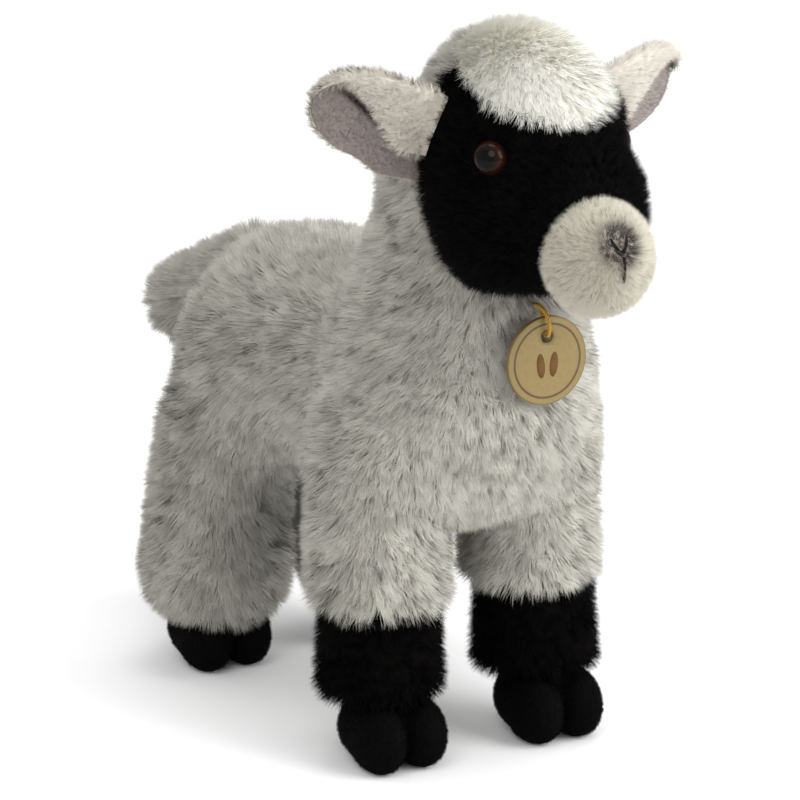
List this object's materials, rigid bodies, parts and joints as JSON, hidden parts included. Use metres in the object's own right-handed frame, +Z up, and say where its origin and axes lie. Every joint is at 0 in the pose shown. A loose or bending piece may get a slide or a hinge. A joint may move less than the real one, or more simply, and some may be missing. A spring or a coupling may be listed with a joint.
{
  "type": "plush goat kid toy",
  "caption": "Standing stuffed toy goat kid with long pile plush, sewn limbs, safety eyes, bean pouches in the hooves and a round hang tag.",
  "frame": {"origin": "middle of the footprint box of the whole toy, on the floor under the soles", "axes": "+Z up, the goat faces -Y, its own right side is -X; x = 0 is the plane of symmetry"},
  "size_m": [0.1584, 0.328, 0.2795],
  "materials": {
    "grey_plush": "long pile plush, light grey",
    "black_plush": "medium pile plush, black",
    "white_plush": "dense pile plush, warm white",
    "cream_plush": "short pile plush, cream",
    "taupe_velour": "velour, taupe",
    "black_velboa": "short pile velboa, black",
    "stuffing": "polyester fibre filling",
    "pellet_bag": "woven pouch of plastic pellets",
    "thread": "embroidery thread",
    "eye_gloss": "polished",
    "eye_paint": "painted",
    "eye_fixing": "moulded",
    "tag_card": "gold card, printed ring",
    "gold_cord": "twisted metallic cord",
    "satin": "woven satin ribbon, blank"
  },
  "bodies": {
    "torso": {"torso_panel_right": "grey_plush", "torso_panel_left": "grey_plush", "belly_gusset": "grey_plush", "torso_stuffing": "stuffing", "care_label": "satin"},
    "neck": {"neck_panel_right": "grey_plush", "neck_panel_left": "grey_plush", "neck_stuffing": "stuffing"},
    "head": {"face_panel_right": "black_plush", "face_panel_left": "black_plush", "crown_patch": "white_plush", "head_back_panel": "grey_plush", "muzzle_panel": "cream_plush", "nose_stitch": "thread", "mouth_stitch": "thread", "head_stuffing": "stuffing", "eye_dome_right": "eye_gloss", "eye_disc_right": "eye_paint", "eye_shank_right": "eye_fixing", "eye_dome_left": "eye_gloss", "eye_disc_left": "eye_paint", "eye_shank_left": "eye_fixing"},
    "ear_right": {"ear_outer_right": "cream_plush", "ear_lining_right": "taupe_velour"},
    "ear_left": {"ear_outer_left": "cream_plush", "ear_lining_left": "taupe_velour"},
    "tail": {"tail_panel_upper": "grey_plush", "tail_panel_lower": "grey_plush", "tail_stuffing": "stuffing"},
    "front_leg_right": {"front_leg_right_sleeve": "grey_plush", "front_leg_right_cuff": "black_plush", "front_leg_right_hoof": "black_velboa", "front_leg_right_sole": "black_velboa", "front_leg_right_stuffing": "stuffing", "front_leg_right_pellet_pouch": "pellet_bag"},
    "hind_leg_right": {"hind_leg_right_sleeve": "grey_plush", "hind_leg_right_hoof": "black_velboa", "hind_leg_right_sole": "black_velboa", "hind_leg_right_stuffing": "stuffing", "hind_leg_right_pellet_pouch": "pellet_bag"},
    "front_leg_left": {"front_leg_left_sleeve": "grey_plush", "front_leg_left_cuff": "black_plush", "front_leg_left_hoof": "black_velboa", "front_leg_left_sole": "black_velboa", "front_leg_left_stuffing": "stuffing", "front_leg_left_pellet_pouch": "pellet_bag"},
    "hind_leg_left": {"hind_leg_left_sleeve": "grey_plush", "hind_leg_left_hoof": "black_velboa", "hind_leg_left_sole": "black_velboa", "hind_leg_left_stuffing": "stuffing", "hind_leg_left_pellet_pouch": "pellet_bag"},
    "tag_cord": {"tag_cord": "gold_cord"},
    "tag": {"tag_front_leaf": "tag_card", "tag_back_leaf": "tag_card"}
  },
  "joints": [
    {"name": "neck_turn", "type": "hinge", "parent": "torso", "child": "neck", "pos_m": [0, -0.05479, 0.158], "axis": [0, 0, 1], "range_deg": [-20, 20], "stiffness_Nm_per_rad": 0.6},
    {"name": "head_nod", "type": "hinge", "parent": "neck", "child": "head", "pos_m": [0, -0.08979, 0.231], "axis": [1, 0, 0], "range_deg": [-14, 10], "stiffness_Nm_per_rad": 1.2},
    {"name": "ear_fold_right", "type": "hinge", "parent": "head", "child": "ear_right", "pos_m": [-0.037, -0.08879, 0.241], "axis": [0.2903, -0.3257, 0.8998], "range_deg": [-25, 20], "stiffness_Nm_per_rad": 0.03},
    {"name": "ear_fold_left", "type": "hinge", "parent": "head", "child": "ear_left", "pos_m": [0.037, -0.08879, 0.241], "axis": [-0.2903, -0.3257, 0.8998], "range_deg": [-20, 25], "stiffness_Nm_per_rad": 0.03},
    {"name": "tail_lift", "type": "hinge", "parent": "torso", "child": "tail", "pos_m": [0, 0.10321, 0.15], "axis": [1, 0, 0], "range_deg": [-15, 25], "stiffness_Nm_per_rad": 0.12},
    {"name": "front_leg_swing_right", "type": "hinge", "parent": "torso", "child": "front_leg_right", "pos_m": [-0.032, -0.04779, 0.098], "axis": [1, 0, 0], "range_deg": [-15, 15], "stiffness_Nm_per_rad": 2.5},
    {"name": "front_leg_swing_left", "type": "hinge", "parent": "torso", "child": "front_leg_left", "pos_m": [0.032, -0.04779, 0.098], "axis": [1, 0, 0], "range_deg": [-15, 15], "stiffness_Nm_per_rad": 2.5},
    {"name": "hind_leg_swing_right", "type": "hinge", "parent": "torso", "child": "hind_leg_right", "pos_m": [-0.032, 0.07621, 0.098], "axis": [1, 0, 0], "range_deg": [-15, 15], "stiffness_Nm_per_rad": 2.5},
    {"name": "hind_leg_swing_left", "type": "hinge", "parent": "torso", "child": "hind_leg_left", "pos_m": [0.032, 0.07621, 0.098], "axis": [1, 0, 0], "range_deg": [-15, 15], "stiffness_Nm_per_rad": 2.5},
    {"name": "cord_swing", "type": "hinge", "parent": "neck", "child": "tag_cord", "pos_m": [0, -0.10359, 0.178], "axis": [1, 0, 0], "range_deg": [-35, 3]},
    {"name": "tag_sway", "type": "hinge", "parent": "tag_cord", "child": "tag", "pos_m": [0, -0.10929, 0.1682], "axis": [0, 1, 0], "range_deg": [-20, 20]}
  ]
}
